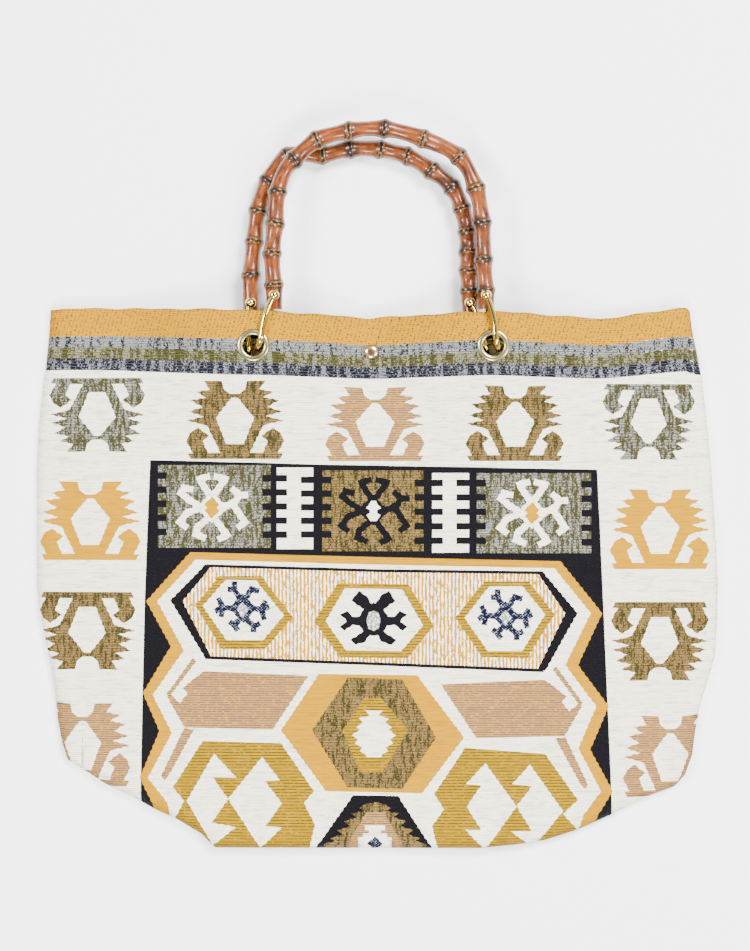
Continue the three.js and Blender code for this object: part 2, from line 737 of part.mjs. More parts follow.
// The whole is moved so that its middle stands over the origin.
const whole = new THREE.Group();
whole.add(bag);
whole.updateMatrixWorld(true);
const box = new THREE.Box3().setFromObject(bag, true);
const middle = box.getCenter(new THREE.Vector3());
bag.position.set(-middle.x, -middle.y, 0);

export default whole;
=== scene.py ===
# %% [markdown]
# # A woven tote with bamboo root handles, lying on its back
#
# The bag lies on a white table and is seen from straight above. The imported CAD part says where
# every piece is. This lesson gives the pieces their looks: two kilim cloths charted and cut from
# a lofted shell, handles of varnished bamboo root, and brass hardware.
#
# Millimetres are used in the charts and turned into metres when a mesh is made.

import math

import bpy
import numpy as np
from mathutils import Matrix, Vector
from mathutils.bvhtree import BVHTree
from mathutils.geometry import delaunay_2d_cdt


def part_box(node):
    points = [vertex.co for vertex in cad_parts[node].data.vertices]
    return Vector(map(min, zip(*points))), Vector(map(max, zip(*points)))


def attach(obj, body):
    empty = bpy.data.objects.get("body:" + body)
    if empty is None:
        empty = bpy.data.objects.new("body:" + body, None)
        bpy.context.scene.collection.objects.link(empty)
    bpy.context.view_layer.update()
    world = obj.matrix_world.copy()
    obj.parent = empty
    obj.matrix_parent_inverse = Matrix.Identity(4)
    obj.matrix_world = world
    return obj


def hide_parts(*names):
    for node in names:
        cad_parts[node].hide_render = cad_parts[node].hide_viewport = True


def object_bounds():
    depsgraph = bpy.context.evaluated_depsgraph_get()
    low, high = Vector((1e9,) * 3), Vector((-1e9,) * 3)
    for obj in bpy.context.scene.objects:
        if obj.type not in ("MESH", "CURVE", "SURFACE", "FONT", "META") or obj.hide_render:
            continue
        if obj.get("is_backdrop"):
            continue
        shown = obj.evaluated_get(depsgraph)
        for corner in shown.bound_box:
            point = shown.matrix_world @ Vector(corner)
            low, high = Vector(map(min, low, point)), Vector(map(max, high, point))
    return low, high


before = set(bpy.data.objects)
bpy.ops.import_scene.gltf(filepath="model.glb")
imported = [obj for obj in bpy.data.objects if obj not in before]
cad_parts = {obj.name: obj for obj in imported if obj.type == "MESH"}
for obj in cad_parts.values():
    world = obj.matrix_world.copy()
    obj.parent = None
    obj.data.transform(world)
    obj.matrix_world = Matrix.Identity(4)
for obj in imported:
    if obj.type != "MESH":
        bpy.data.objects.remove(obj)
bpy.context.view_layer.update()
MM = 0.001


def bring_in(name, data):
    """A new object in the scene, selected and active."""
    made = bpy.data.objects.new(name, data)
    bpy.context.scene.collection.objects.link(made)
    bpy.ops.object.select_all(action="DESELECT")
    made.select_set(True)
    bpy.context.view_layer.objects.active = made
    return made


# %% [markdown]
# ## Camera, table and light
# The camera looks straight down with a long lens, so the cloth keeps its true outline. A window
# at the upper right gives the faint shadows at the lower left, and three soft boxes fill them.

# %% Camera
FIELD = 646.7           # mm of the table over the picture's long side
LENS = 100
SENSOR = 36
MIDDLE = (-1.5, 5.8)    # the picture's middle on the table
LEVEL = 12              # height at which the field is measured

camera_data = bpy.data.cameras.new("camera")
camera_data.lens = LENS
camera_data.sensor_width = SENSOR
camera = bring_in("camera", camera_data)
distance = FIELD * LENS / SENSOR
camera.location = (MIDDLE[0] * MM, MIDDLE[1] * MM, (LEVEL + distance) * MM)
bpy.context.scene.camera = camera
print("camera height in mm:", round(LEVEL + distance))


# %% Nodes and colours
def linear(code):
    """A hex colour in sRGB as linear RGBA."""
    channels = [int(code[i:i + 2], 16) / 255 for i in (1, 3, 5)]
    return [c / 12.92 if c <= 0.04045 else ((c + 0.055) / 1.055) ** 2.4 for c in channels] + [1]


def add(tree, kind, inputs=None, **settings):
    """Adds a node. Inputs are set by name or number, and a socket as a value is linked."""
    made = tree.nodes.new(kind)
    for key, value in settings.items():
        setattr(made, key, value)
    for key, value in (inputs or {}).items():
        if isinstance(value, bpy.types.NodeSocket):
            tree.links.new(value, made.inputs[key])
        else:
            made.inputs[key].default_value = value
    return made


def compute(tree, operation, a, b=0.0, c=0.0):
    return add(tree, "ShaderNodeMath", {0: a, 1: b, 2: c}, operation=operation).outputs[0]


def ramp(tree, value, stops):
    """A colour ramp from (position, hex colour) pairs."""
    made = add(tree, "ShaderNodeValToRGB", {"Fac": value})
    elements = made.color_ramp.elements
    for i, (position, code) in enumerate(stops):
        stop = elements[i] if i < 2 else elements.new(position)
        stop.position = position
        stop.color = linear(code)
    return made.outputs["Color"]


def noise(tree, place, scale, detail, **more):
    inputs = {"Vector": place, "Scale": scale, "Detail": detail, **more}
    return add(tree, "ShaderNodeTexNoise", inputs).outputs[0]


def remap(tree, value, low, high, to_low=0.0, to_high=1.0):
    inputs = {"Value": value, "From Min": low, "From Max": high, "To Min": to_low,
              "To Max": to_high}
    return add(tree, "ShaderNodeMapRange", inputs).outputs[0]


def mix(tree, share, first, second):
    return add(tree, "ShaderNodeMix", {"Factor": share, 6: first, 7: second},
               data_type="RGBA").outputs[2]


def new_material(name):
    """An empty node material and its surface shader."""
    made = bpy.data.materials.new(name)
    made.use_nodes = True
    return made, made.node_tree, made.node_tree.nodes["Principled BSDF"]


def dress(made, material):
    made.data.materials.clear()
    made.data.materials.append(material)


# %% Table and lights
table_paper, tree, shader = new_material("white_table")
shader.inputs["Base Color"].default_value = linear("#F6F6F7")
shader.inputs["Roughness"].default_value = 0.8
shader.inputs["Specular IOR Level"].default_value = 0.1
bpy.ops.mesh.primitive_plane_add(size=12, location=(0, 0, -0.0002))
table = bpy.context.object
table.name = "table"
table.data.materials.append(table_paper)
table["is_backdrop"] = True

LIGHTS = [                   # name, place and size in m, watts
    ("window", (0.9, 1.3, 1.9), 0.8, 165),
    ("left_box", (-1.6, 0.4, 1.8), 0.6, 85),
    ("front_box", (-0.2, -1.6, 1.8), 0.6, 85),
    ("right_box", (1.6, -0.6, 1.8), 0.6, 70),
]
for name, place, size, watts in LIGHTS:
    data = bpy.data.lights.new(name, "AREA")
    data.size = size
    data.energy = watts
    lamp = bring_in(name, data)
    lamp.location = place
    lamp.rotation_euler = Vector(place).to_track_quat("Z", "Y").to_euler()

world = bpy.data.worlds.new("studio")
world.use_nodes = True
# The room itself is dim, and darkest overhead, where the camera hangs, so that the varnish and the
# brass show their own colour between the bright lines drawn by the lights.
tree = world.node_tree
heading = add(tree, "ShaderNodeSeparateXYZ",
              {0: add(tree, "ShaderNodeTexCoord").outputs["Generated"]})
band = ramp(tree, heading.outputs[2], [(0.0, "#303030"), (0.18, "#585858"), (0.36, "#F6F7FA"),
                                       (0.86, "#F6F7FA"), (0.96, "#6A6A6C")])
background = tree.nodes["Background"]
tree.links.new(band, background.inputs["Color"])
background.inputs["Strength"].default_value = 0.9
bpy.context.scene.world = world
print("lights:", [light[0] for light in LIGHTS])

# %% [markdown]
# ## Yarns
# The cloth is a jacquard: one weave in which the yarns change at the edges of the figures. Each
# yarn mix is a material of its own. All come from one recipe, so they share the same rows and
# columns of the weave: a ground colour, a second thread that comes up in grains of a given
# width and height, thin rows of a third colour, and a relief of small knots, with painted shade
# between them and in the creases.

# %% The recipe
ROW = 1.45       # mm between two rows of the weave
COLUMN = 1.5     # mm between two columns
NOISE_SPAN = 0.42             # rise of the noise from an uncovered to a covered ground
ROW_BREAK = 2.4               # mm, size of the breaks in a thin row
CRINKLE = (17.0, 2.3)         # mm, width and height of a crinkle
CREASE_SHADE = (0.34, 0.47, 0.72)   # noise in a crease and beside it, and how dark the painted shade in a crease is


def grains(tree, x, y, wide, tall, layer):
    """A place counted in grains of a width and height. Each layer has other grains."""
    return add(tree, "ShaderNodeCombineXYZ", {0: compute(tree, "DIVIDE", x, wide),
                                              1: compute(tree, "DIVIDE", y, tall),
                                              2: layer}).outputs[0]


def ribs(tree, way, pitch):
    return compute(tree, "SINE", compute(tree, "MULTIPLY", way, 2 * math.pi / pitch))


def woven(name, ground, thread, grain, share, soft=0.06, fleck=0.0, beat=None, rows=None,
          shear=0.0, relief=0.5, slub=0.0):
    """grain is the thread's width and height in mm, share how much of the ground it covers,
    fleck how much of it comes in single knots, beat a regular pitch across and along and its
    strength, rows the pitch, share and colour of thin lines, slub how much the rows crinkle."""
    made, tree, shader = new_material(name)
    place = add(tree, "ShaderNodeTexCoord").outputs["Object"]
    scaled = add(tree, "ShaderNodeVectorMath", {0: place, 1: (1 / MM,) * 3},
                 operation="MULTIPLY").outputs[0]
    axes = add(tree, "ShaderNodeSeparateXYZ", {0: scaled}).outputs
    x, y = axes[0], axes[1]
    slanted = compute(tree, "MULTIPLY_ADD", y, shear, x)
    level = noise(tree, grains(tree, slanted, y, *grain, len(name)), 1, 2.5, Roughness=0.55)
    if fleck:
        single = noise(tree, grains(tree, slanted, y, COLUMN * 0.7, ROW * 0.9, 1.3), 1, 1)
        level = compute(tree, "MULTIPLY_ADD", compute(tree, "SUBTRACT", single, 0.5), fleck, level)
    if beat:
        wave = ribs(tree, slanted, beat[0])
        if beat[1]:
            wave = compute(tree, "MULTIPLY", wave, ribs(tree, y, beat[1]))
        level = compute(tree, "MULTIPLY_ADD", wave, beat[2], level)
    edge = 0.5 + (0.5 - share) * NOISE_SPAN
    mask = remap(tree, level, edge - soft, edge + soft)
    shade = mix(tree, mask, linear(ground), linear(thread))
    if rows:
        pitch, thick, line = rows
        row = compute(tree, "DIVIDE", y, pitch)
        on_row = compute(tree, "LESS_THAN", compute(tree, "FRACT", row), thick)
        number = compute(tree, "FLOOR", row)
        broken = noise(tree, grains(tree, x, number, ROW_BREAK, 1, 3.7), 1, 3)
        broken = remap(tree, broken, 0.36, 0.46)
        shade = mix(tree, compute(tree, "MULTIPLY", on_row, broken), shade, linear(line))
    # The knots of the weave, with painted shade making it a little darker between two of them.
    knots = compute(tree, "MULTIPLY_ADD", ribs(tree, x, COLUMN), 0.35, ribs(tree, y, ROW))
    darker = remap(tree, knots, -1.3, 0.4, 1 - 0.2 * relief)
    if slub:
        fibre = noise(tree, grains(tree, x, y, *CRINKLE, 0.0), 1, 4, Distortion=1.4)
        knots = compute(tree, "MULTIPLY_ADD", fibre, slub, knots)
        # Painted shade in the creases of the crinkled rows.
        darker = compute(tree, "MULTIPLY", darker, remap(tree, fibre, *CREASE_SHADE))
    shaded = add(tree, "ShaderNodeVectorMath", {0: shade, "Scale": darker}, operation="SCALE")
    bump = add(tree, "ShaderNodeBump", {"Height": knots, "Strength": relief,
                                        "Distance": 0.0003 + 0.0002 * slub})
    tree.links.new(shaded.outputs[0], shader.inputs["Base Color"])
    tree.links.new(bump.outputs[0], shader.inputs["Normal"])
    shader.inputs["Roughness"].default_value = 0.92
    shader.inputs["Sheen Weight"].default_value = 0.02
    shader.inputs["Specular IOR Level"].default_value = 0.02
    return made


# %% The yarn mixes
YARNS = {
    # undyed cotton in loose, crinkled rows
    "ivory": woven("undyed_cotton", "#FFFAE2", "#E8DCC0", (16, 1.3), 0.22, 0.1, relief=0.6,
                   slub=2.5),
    # dyed cotton, flat
    "saffron": woven("saffron_cotton", "#A87800", "#9A6A00", (16, 1.2), 0.35, 0.12, relief=0.5),
    # saffron twill of the hem, with dark floats on the slant
    "twill": woven("saffron_twill", "#AE7A00", "#4A2E0C", (1.6, 1.6), 0.16, 0.07, shear=0.8,
                   beat=(2.7, 2.5, 0.2), relief=0.7),
    # black wool blend
    "black": woven("charcoal_wool", "#0F0E11", "#18171B", (1.4, 1.1), 0.25, 0.08, relief=0.6),
    # navy and white in small checks
    "navy": woven("navy_check_cotton", "#7A7E90", "#0E1020", (2.0, 2.0), 0.8, 0.05,
                  beat=(2.2, 1.9, 0.16), relief=0.6),
    # grey flecked white in the middle of a figure
    "grey": woven("grey_cotton", "#707170", "#DCDECA", (1.6, 1.6), 0.4, 0.08, relief=0.5),
    # olive and grey in upright streaks
    "olive_grey": woven("olive_and_grey_cotton", "#97978F", "#46421E", (2.0, 12), 0.56, 0.05,
                        fleck=0.7, rows=(2.0, 0.25, "#4E4C3C"), relief=1.5),
    # khaki with olive in upright streaks
    "khaki": woven("khaki_and_olive_cotton", "#8C7040", "#38381A", (2.0, 12), 0.42, 0.05,
                   fleck=0.7, rows=(2.0, 0.25, "#52452A"), relief=1.5),
    # tan with thin navy rows
    "tan": woven("tan_lined_cotton", "#96703E", "#A87C3A", (9, 1.2), 0.45, 0.06,
                 rows=(1.55, 0.36, "#3A3640"), relief=0.55),
    # olive gold with thin dark rows
    "gold": woven("olive_gold_cotton", "#866808", "#9A7610", (11, 1.4), 0.4, 0.06,
                  rows=(2.1, 0.25, "#332A0C"), relief=0.55),
    # saffron and white in broken upright stripes
    "stripes": woven("striped_saffron_cotton", "#FCF8E4", "#B07C00", (1.6, 5), 0.6, 0.04,
                     fleck=0.25, beat=(2.5, None, 0.15), relief=0.7),
    # rows under the hem: flecked grey, olive blocks, navy blocks
    "flecked": woven("navy_flecked_grey_cotton", "#94958F", "#1A1B28", (3.0, 18), 0.36, 0.05,
                     fleck=0.9, rows=(1.9, 0.25, "#5A5C60"), relief=1.5),
    "olive_blocks": woven("olive_block_cotton", "#8E8D74", "#413E1A", (4.4, 40), 0.6, 0.05,
                          fleck=0.7, rows=(1.9, 0.25, "#5C5A3C"), relief=1.5),
    "navy_blocks": woven("navy_block_cotton", "#8B8D90", "#141520", (5.5, 40), 0.6, 0.05,
                         fleck=0.7, rows=(1.9, 0.25, "#4A4C54"), relief=1.5),
    # the cloth's reverse
    "reverse": woven("brown_reverse_cotton", "#3E2D1B", "#2F2012", (3, 3), 0.4, 0.1, relief=0.5),
}
print(len(YARNS), "yarn mixes")

# %% [markdown]
# ## The chart
# The figures are drawn on squared paper, as a weaver would, with 0.68 mm to a square. A figure
# is a closed line of corners and the yarn that fills it, and a later figure lies over an earlier
# one. Most figures have two equal halves, so only one half is drawn.

# %% Drawing tools
SQUARE = 0.68                # mm
ORIGIN = (377.2, 484.0)      # the square over the bag's middle
figures = []                 # (yarn, corners in squares), in the order in which they are laid


def corners(shape):
    """Points from a text such as 150,460 597,469. A list stays as it is."""
    if not isinstance(shape, str):
        return shape
    return [tuple(float(v) for v in pair.split(",")) for pair in shape.split()]


def fill(yarn, shape):
    figures.append((yarn, corners(shape)))


def at(shape, x, y, width=1.0, height=1.0):
    return [(x + px * width, y + py * height) for px, py in corners(shape)]


def mirrored(shape, axis=0.0):
    return [(2 * axis - px, py) for px, py in corners(shape)]


def both(yarn, shape, x, y, width=1.0, height=1.0):
    """A half figure and its mirror image beside the line x."""
    fill(yarn, at(shape, x, y, width, height))
    fill(yarn, at(mirrored(shape), x, y, width, height))


def block(yarn, x0, x1, y0, y1):
    fill(yarn, [(x0, y0), (x1, y0), (x1, y1), (x0, y1)])


def stroke(yarn, points, wide):
    """A bent line of even width, with square ends."""
    for (ax, ay), (bx, by) in zip(points, points[1:]):
        length = math.hypot(bx - ax, by - ay)
        dx, dy = (bx - ax) / length * wide / 2, (by - ay) / length * wide / 2
        fill(yarn, [(ax - dx - dy, ay - dy + dx), (bx + dx - dy, by + dy + dx),
                    (bx + dx + dy, by + dy - dx), (ax - dx + dy, ay - dy - dx)])


# %% Outline of the bag and the bands below its mouth
MOUTH = corners("49,309 80,308.3 110,308 180,309.5 254,311 312,314.5 370,318 430,315 490,312 "
                "545,315.5 600,319 640,313.5 680,307.5 688,307.5 691.5,310.5")
RIGHT_EDGE = corners("694,330 698.5,352 704,380 709,424 713,466 717,530 720,584 719,622 717,657 "
                     "709,684 702,706 697,733 694,756 687,776 676,788 646,799 613,816 580,831 "
                     "546,842 513,847 480,850")
LEFT_EDGE = corners("214,849.5 201,836 176,821 156,812 140,803 105,786 85,773 66,761 61,746 "
                    "56,720 53,690 47,657 37,607 35,584 35,530 35,472 37,426 42,380 44,370 "
                    "47.5,334")
BAND_DEPTH = corners("49,61 242,65 370,61 490,64 600,60 690,64")   # x, depth of all four bands
BANDS = [                    # yarn, and the shares of the depth where it starts and ends
    ("twill", 0.0, 0.45), ("flecked", 0.45, 0.635), ("olive_blocks", 0.635, 0.81),
    ("navy_blocks", 0.81, 1.0),
]
PAST_MOUTH = 12              # squares by which the first band runs past the mouth
BAND_X = (20, 730)           # squares between which the bands' lines are drawn
BAND_COUNT = 48


def band_line(share):
    """The line at a share of the bands' depth below the mouth."""
    xs = np.linspace(*BAND_X, BAND_COUNT)
    mouth, depth = (np.interp(xs, *zip(*line)) for line in (MOUTH, BAND_DEPTH))
    return list(zip(xs, mouth + share * depth))


fill("ivory", "0,280 750,280 750,900 0,900")
for yarn, start, end in BANDS:
    top = band_line(start) if start else [(x, y - PAST_MOUTH) for x, y in band_line(0)]
    fill(yarn, top + band_line(end)[::-1])

# %% Ram's-horn figures of the border
HORN = corners("0,13 5.1,12.9 10.9,8.6 12.8,0.7 31.9,0.2 25.5,8.6 39.6,11 29.5,16.4 45.5,19 "
               "33.5,25.6 48.3,30 32,34.6 50.3,38.6 34,42.2 28.7,44 15.2,69.9 49,70.5 46,76 0,76")
HORN_EYE = "0,16.5 3.3,16.9 19.6,36.1 9,61.5 0,61.5"
HORN_LEAF = "38.6,45.5 26.8,53.5 33.5,58.5 28,70.6 43.5,70.6 50.5,58.5 46.5,50.5"
HORN_SIZE = (100.6, 76)
HORNS = [                    # yarn, middle, top, width, height and whether it stands on its head
    ("olive_grey", 97, 378, 96, 74, True), ("khaki", 235.5, 381, 98, 78, False),
    ("tan", 375, 387, 99, 74, False), ("khaki", 514.5, 386, 98, 75, False),
    ("olive_grey", 649, 384, 93, 76, True), ("saffron", 90, 481, 101, 79, False),
    ("saffron", 660, 489, 100, 80, False), ("khaki", 87, 592, 97, 78, True),
    ("khaki", 660, 602, 98, 79, True), ("tan", 82, 703, 96, 84, False),
    ("tan", 670.7, 715.5, 95, 82, False),
]
for horn_yarn, x, y, wide, tall, flip in HORNS:
    width = wide / HORN_SIZE[0]
    height = tall / HORN_SIZE[1] * (-1 if flip else 1)
    top = y + (tall if flip else 0)
    for yarn, part in ((horn_yarn, HORN), ("ivory", HORN_EYE), (horn_yarn, HORN_LEAF)):
        both(yarn, part, x, top, width, height)

# %% The field's black ground and its zigzag edge
fill("black", "150,460 320,464.5 597,469.6 612.5,816 614,880 138,880 140,803 145,600")
fill("saffron", "190.5,552 380,557 560,561 602,613 577.8,665 608.5,706 590,749.5 612.7,791 "
                "598,816 580,880 156,880 152,804 139.5,778 159.4,731 142.8,693 171,646 146.6,601")
fill("ivory", "196,559.5 380,564.5 554,568 590.5,613 565,665 596,706 578,748 601,791 583,816 "
              "566,880 175,880 167,802.5 147.7,778 172,733 152.7,695 184,650 157.5,601")

# %% Row of panels, with combs of black teeth between them
TEETH = 5
TEETH_TALL = 6.6
PANELS = [                   # yarn, left, right, top and bottom
    ("olive_grey", 158, 271, 465, 547.5), ("ivory", 277, 313.3, 467.5, 549),
    ("khaki", 322.4, 423.6, 470.5, 551), ("ivory", 432, 468.8, 473, 552.5),
    ("olive_grey", 476.4, 591.2, 473, 553),
]
COMBS = [                    # left, right, middle of the first tooth and pitch
    (152, 166.5, 475.7, 14.0), (262.7, 287.3, 478.2, 14.1), (301, 331.5, 479.9, 13.6),
    (414.4, 442.8, 482.9, 14.4), (456.2, 485.6, 482.9, 14.4), (581.3, 596, 484.4, 14.4),
]
for panel in PANELS:
    block(*panel)
for x0, x1, first, pitch in COMBS:
    for i in range(TEETH):
        y = first + i * pitch
        block("black", x0, x1, y - TEETH_TALL / 2, y + TEETH_TALL / 2)

# %% Stars with eight hooked arms
STAR_ARMS = [
    "-2,-13 -9,-23 -12,-29 -5,-31", "2,-13 9,-23 13,-29 5,-31",
    "-13,-2 -24,-9 -31,-15 -28,-20 -22,-19", "-13,0 -25,5 -32,14 -27,18",
    "13,-2 22,-5 28,-13 22,-18", "28,-13 33,-13", "20,-5 27,5 33,14 28,18",
    "-5,11 -14,19 -16,26 -9,29", "4,12 10,20 15,27 9,30",
]


def star(yarn, x, y, wide, body):
    for arm in STAR_ARMS:
        stroke(yarn, at(arm, x, y), wide)
    fill(yarn, at(body, x, y))


for x, y in ((212.1, 508), (531.8, 513.5)):
    star("ivory", x, y, 6.5, "0,-17 16,0 0,15 -16,0")
    both("saffron", "0,-11.4 7.6,-3.6 4.6,-0.4 7.6,2.6 0,10.6", x, y)
star("black", 373.5, 511.4, 6.2, "0,-17 15,0 0,14 -17,-1")
both("ivory", "0,-10.5 2.5,-10.5 4,-7 7.5,-3.5 3.5,-1.5 3.5,1.5 7,3.5 3,9.5 0,9.5", 373.5,
     511.4)

# %% Band of three hexagons
fill("black", "206,564 380,569 542,571 577.5,613 544.5,672 375,665 206,659 170.7,600")
fill("stripes", "211,567 380,572 538,574 565,613 538,668.5 375,662 211,656 183,601")
fill("gold", "219,576 262,576 293,617 265,649 222,649 195.6,605")
fill("ivory", "226,579.5 256,580 284,615 263,640 227,640 203,606")
fill("gold", "338,583 408,584 433.6,625 408,658 340,657 314,621")
fill("ivory", "345,588 402,589 423,625 401,651 346,650 325.7,621")
fill("gold", "484,581 528,581 554.5,614 527,658 482,657 455,618")
fill("ivory", "489,586 522,586 545,614 522,651 488,651 464.5,618")

CROSS_ARMS = ["-3,-10 -8,-19 -12,-19", "-8,-19 -8,-24", "3,-10 9,-19 14,-18", "-11,0 -20,-1 -23,-8",
              "-20,-1 -25,2", "-20,-1 -21,6", "11,0 19,1 22,-5", "19,1 24,-1", "19,1 21,9",
              "-3,11 -8,17 -11,15", "-8,17 -6,20", "4,11 11,18 11,21", "11,18 15,16"]
for x, y in ((242.8, 608), (505.5, 616)):
    for arm in CROSS_ARMS:
        stroke("navy", at(arm, x, y), 5.8)
    fill("navy", at("0,-15 14,0 1,15 -14,0", x, y))
    fill("grey", at("0,-6 6,1 0,10 -6,1", x, y))
for part in ("0,-18 8,-15 17,0 8,14 0,15", "1,-15 7,-25 15,-30 22,-20 11,-12 5,-11",
             "14,-4 21,-4 26,-10 34,-6 28,-2 27,1 34,6 29,10 21,4 14,5",
             "3,12 8,21 18,24 23,19 12,12 8,8"):
    both("black", part, 373.5, 620.5)
both("grey", "0,-10 5,-8 7,0 5,8 0,10", 373.5, 620.5)

# %% Middle: nested hexagons with a serrated diamond, and a lined panel on each side
fill("saffron", "319,673.5 417,675 464,737 422,793 326,791 281,730")
fill("khaki", "348,677 402,679 436,737 402,789 347.5,787 312,730")
fill("gold", "363.7,698 381,697.5 408,730 382.6,772 360,772 342.6,730")
both("ivory", corners("0,0 9,0 4,5 15,8 11,12 18,17 14,19 22,25 16,29 19,33 12,37 14,41 8,44 "
                      "7.5,47 0,47"), 374, 710)
LINED = "204.6,671 308.4,675.6 273,729 184.6,727.5 167,697"
LINED_PARTS = (
    ("tan", "193,657.5 196.5,661 170,699 166.5,694"),
    ("ivory", "202.5,671.5 182.6,688 187.5,693 180,703 171,694.7 196,661.6 206,662"),
    ("tan", "194,729.5 184,728 161,776 164.3,780.5 168.5,776"),
)
LINED_AXIS = 374.5
LINED_SHIFT = 8.5      # the right side lies this much lower
fill("tan", LINED)
fill("tan", at(mirrored(LINED, LINED_AXIS), 0, LINED_SHIFT))
for yarn, part in LINED_PARTS:
    fill(yarn, part)
    fill(yarn, at(mirrored(part, LINED_AXIS), 0, LINED_SHIFT))

# %% Lower hexagons with two barbed diamonds each
fill("gold", "202.5,741 281,743 314,791 304,803 315,824 300,890 190,890 174,820 184,801 "
             "172.6,787.6")
fill("gold", "465,747.5 545,753.6 577.8,800 563,814 578,830 560,890 448,890 432,826 444,809 "
             "434,794")
BARBED = [
    "214,753.6 236.5,777.6 212.4,777 228,799 211.6,823 235.6,827 212.4,846 186.7,801",
    "262,757 280,780 264.7,781 282,803 265.5,826 282,827 260.5,848 228,799",
    "485.1,763 466,784 481,785 466.7,806.6 481,829.5 465.2,829.5 485,850 516.5,806",
    "529.8,764.4 563,811 533,848 510.7,831 532,831 516.5,806 532,786 512,784",
]
for part in BARBED:
    fill("ivory", part)

# %% Stepped tree on the bottom fold
fill("black", "353,795 398,795.7 432,848 436,890 310,890 317,846")
both("khaki", corners("0,3 10,5 16,9 10,12 24,14 18,18 31,22 25,27 38,31 32,35 45,39 40,42 51,45 "
                      "56,90 0,90"), 375, 799)
both("tan", "0,13 9,13 15,24 20,32 27,45 27,90 0,90", 375, 799)
both("ivory", "0,26 10,26 10,31 6,31 6,34 12,34 12,38 17,38 17,60 0,60", 375, 799)
both("navy", "0,37 8,45 0,53", 375, 799)
print(len(figures), "figures in the chart")

# %% [markdown]
# ## The cloth
# A bag is a lofted shell that sags. The CAD panel has the shell's height in coarse steps, so it
# is felt out on a grid, smoothed, and rolled over at the seams again. The chart's lines cut the
# shell into triangles, and each triangle takes the yarn of the last figure that covers it.

# %% Outline in millimetres
STEP = 4.0           # mm between two places where the shell's height is felt
FELT_X = (-244, 245)
FELT_Y = (-256, 133)
SPREAD = 256         # turns in which heights spread to places where nothing was felt
SMOOTH = 4           # turns in which all are smoothed
FLAT_REACH = 12.5    # mm round an eyelet's middle where the cloth is flat
SNAP_REACH = 6.0
FLAT_FADE = 9        # mm over which it rises from there
HOLE_SIDES = 24
TRIANGLE = 0.87      # height of a triangle with equal sides of 1
RIM_STEP = 3.0       # mm between two points of the outline
ROLL = 13.0          # mm over which the front rolls over at its seams
SEAM_HEIGHT = 1.9    # mm, height of the front's seam
WALL = 1.6           # mm, thickness of the cloth
HOLE_CUT = 7.9       # mm, radius of the cloth's hole round an eyelet's tube
JAG = 0.3            # mm, how far a woven edge steps to and fro
JAG_STEP = 2.1       # mm from step to step


def to_mm(points):
    return np.array([((x - ORIGIN[0]) * SQUARE, (ORIGIN[1] - y) * SQUARE) for x, y in points])


def along_line(points, step):
    """Points on a bent line, at most a step apart."""
    made = []
    for a, b in zip(points, points[1:]):
        count = max(1, math.ceil(math.dist(a, b) / step))
        made += [a + (b - a) * i / count for i in range(count)]
    return np.array(made + [points[-1]])


PUCKER = 0.3         # mm, how far the hem's edge is drawn in and out by its fold
PUCKER_SIZES = (3.9, 6.7)
front_rim = along_line(to_mm([MOUTH[-1]] + RIGHT_EDGE + LEFT_EDGE + [MOUTH[0]]),
                       RIM_STEP)
mouth_line = along_line(to_mm(MOUTH), RIM_STEP)[1:-1]
mouth_line[:, 1] += PUCKER * sum(np.sin(mouth_line[:, 0] / size) for size in PUCKER_SIZES)
front_outline = np.concatenate([front_rim, mouth_line])


def nearest(points, line):
    """Distance of each point from a bent line."""
    a, b = line[:-1], line[1:]
    run = b - a
    size = (run ** 2).sum(1)
    best = np.full(len(points), 1e9)
    for start, way, square in zip(a, run, size):
        t = np.clip(((points - start) @ way) / square, 0, 1)
        gap = points - start - t[:, None] * way
        best = np.minimum(best, np.hypot(gap[:, 0], gap[:, 1]))
    return best


def inside(points, outline):
    """Which points lie in a closed line."""
    x, y = points[:, 0], points[:, 1]
    found = np.zeros(len(points), bool)
    for (ax, ay), (bx, by) in zip(outline, np.roll(outline, -1, 0)):
        if ay != by:
            crosses = (ay > y) != (by > y)
            found ^= crosses & (x < (bx - ax) * (y - ay) / (by - ay) + ax)
    return found


# %% Height of the shell
EYELETS = [(f"{row}_eyelet_{side}", panel)
           for row, panel in (("front", "front_panel"), ("rear", "back_panel"))
           for side in ("left", "right")]


def node_box(name):
    low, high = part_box(name)
    return np.array(low) / MM, np.array(high) / MM


def felt_height(panel, from_above):
    """A smoothed grid of the CAD panel's outer face: x places, y places and heights."""
    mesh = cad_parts[panel].data
    tree = BVHTree.FromPolygons([v.co / MM for v in mesh.vertices],
                                [p.vertices for p in mesh.polygons])
    xs = np.arange(*FELT_X, STEP)
    ys = np.arange(*FELT_Y, STEP)
    spots = np.array([(x, y) for y in ys for x in xs])
    known = nearest(spots, front_rim) > ROLL if from_above else np.ones(len(spots), bool)
    heights = np.full(len(spots), np.nan)
    way = Vector((0, 0, -1 if from_above else 1))
    for i in np.flatnonzero(known & inside(spots, front_outline)):
        hit = tree.ray_cast(Vector((*spots[i], -way.z * 200)), way)[0]
        if hit is not None:
            heights[i] = hit.z
    grid = heights.reshape(len(ys), len(xs))
    sure = ~np.isnan(grid)
    filled = np.where(sure, grid, np.nanmean(grid))
    for turn in range(SPREAD + SMOOTH):
        soft = (np.roll(filled, 1, 0) + np.roll(filled, -1, 0) + np.roll(filled, 1, 1)
                + np.roll(filled, -1, 1)) / 4
        filled = np.where(sure, grid, soft) if turn < SPREAD else (soft + filled) / 2
    return xs, ys, filled


